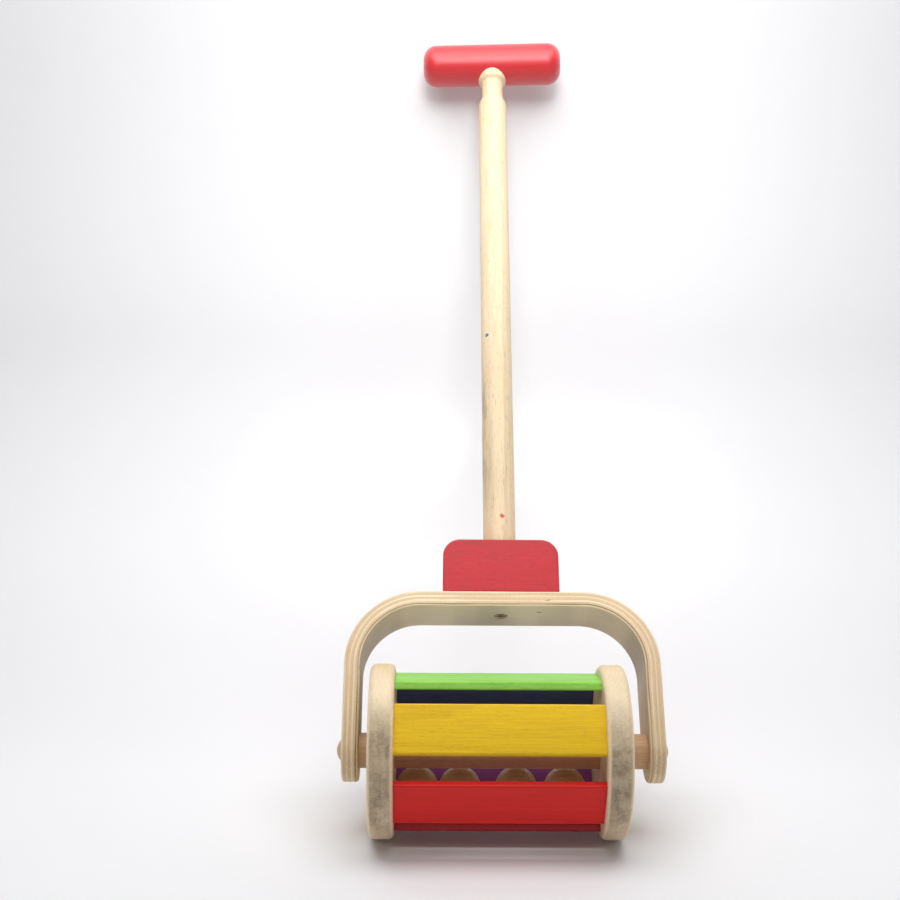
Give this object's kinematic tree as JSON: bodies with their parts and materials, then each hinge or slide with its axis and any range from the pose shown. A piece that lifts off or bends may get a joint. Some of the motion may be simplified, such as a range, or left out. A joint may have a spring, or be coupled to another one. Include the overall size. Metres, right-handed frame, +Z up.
{
  "type": "toy road roller",
  "caption": "Push-along toy road roller: a slatted rolling drum with loose balls inside, carried in a bent plywood yoke on a long T-handled pole.",
  "frame": {"origin": "on the floor, at the middle of the bounding box of the toy as it stands in use, with its handle leaning back", "axes": "+Z up from the floor; +X along the drum's axle, towards the toy's left-hand side as seen by the child pushing it from behind (right in a front view); the handle leans back towards +Y"},
  "size_m": [0.1934, 0.3834, 0.4849],
  "materials": {
    "crimson_paint": "satin stain, grain showing through",
    "pale_wood": "clear satin lacquer",
    "plywood": "clear satin lacquer, plies showing on the edges",
    "disc_wood": "clear satin lacquer, lightly soiled",
    "ball_wood": "smooth clear lacquer",
    "zinc_steel": "zinc plated",
    "yellow_stain": "satin stain",
    "green_stain": "satin stain",
    "blue_stain": "satin stain",
    "purple_stain": "satin stain",
    "crimson_stain": "satin stain",
    "orange_stain": "satin stain"
  },
  "bodies": {
    "handle": {"grip": "crimson_paint", "pole": "pale_wood", "block": "crimson_paint", "yoke": "plywood", "yoke_screw": "zinc_steel", "yoke_washer": "zinc_steel", "block_dowel_left": "pale_wood", "block_dowel_right": "pale_wood", "axle": "pale_wood", "peg_left": "pale_wood", "peg_right": "pale_wood"},
    "drum": {"disc_left": "disc_wood", "disc_right": "disc_wood", "slat_yellow": "yellow_stain", "slat_green": "green_stain", "slat_blue": "blue_stain", "slat_purple": "purple_stain", "slat_crimson": "crimson_stain", "slat_orange": "orange_stain"},
    "ball_1": {"ball_1": "ball_wood"},
    "ball_2": {"ball_2": "ball_wood"},
    "ball_3": {"ball_3": "ball_wood"},
    "ball_4": {"ball_4": "ball_wood"}
  },
  "joints": [
    {"name": "drum_spin", "type": "hinge", "parent": "handle", "child": "drum", "pos_m": [0, -0.14166, 0.05], "axis": [1, 0, 0], "continuous": true},
    {"name": "ball_1_roll", "type": "slide", "parent": "drum", "child": "ball_1", "axis": [1, 0, 0], "range_m": [0, 0.004]},
    {"name": "ball_2_roll", "type": "slide", "parent": "drum", "child": "ball_2", "axis": [1, 0, 0], "range_m": [0, 0.004]},
    {"name": "ball_3_roll", "type": "slide", "parent": "drum", "child": "ball_3", "axis": [1, 0, 0], "range_m": [-0.004, 0.0018]},
    {"name": "ball_4_roll", "type": "slide", "parent": "drum", "child": "ball_4", "axis": [1, 0, 0], "range_m": [-0.0018, 0.0053]}
  ],
  "couplings": [
    {"joint": "ball_1_roll", "follows": "ball_2_roll", "ratio": 1}
  ]
}
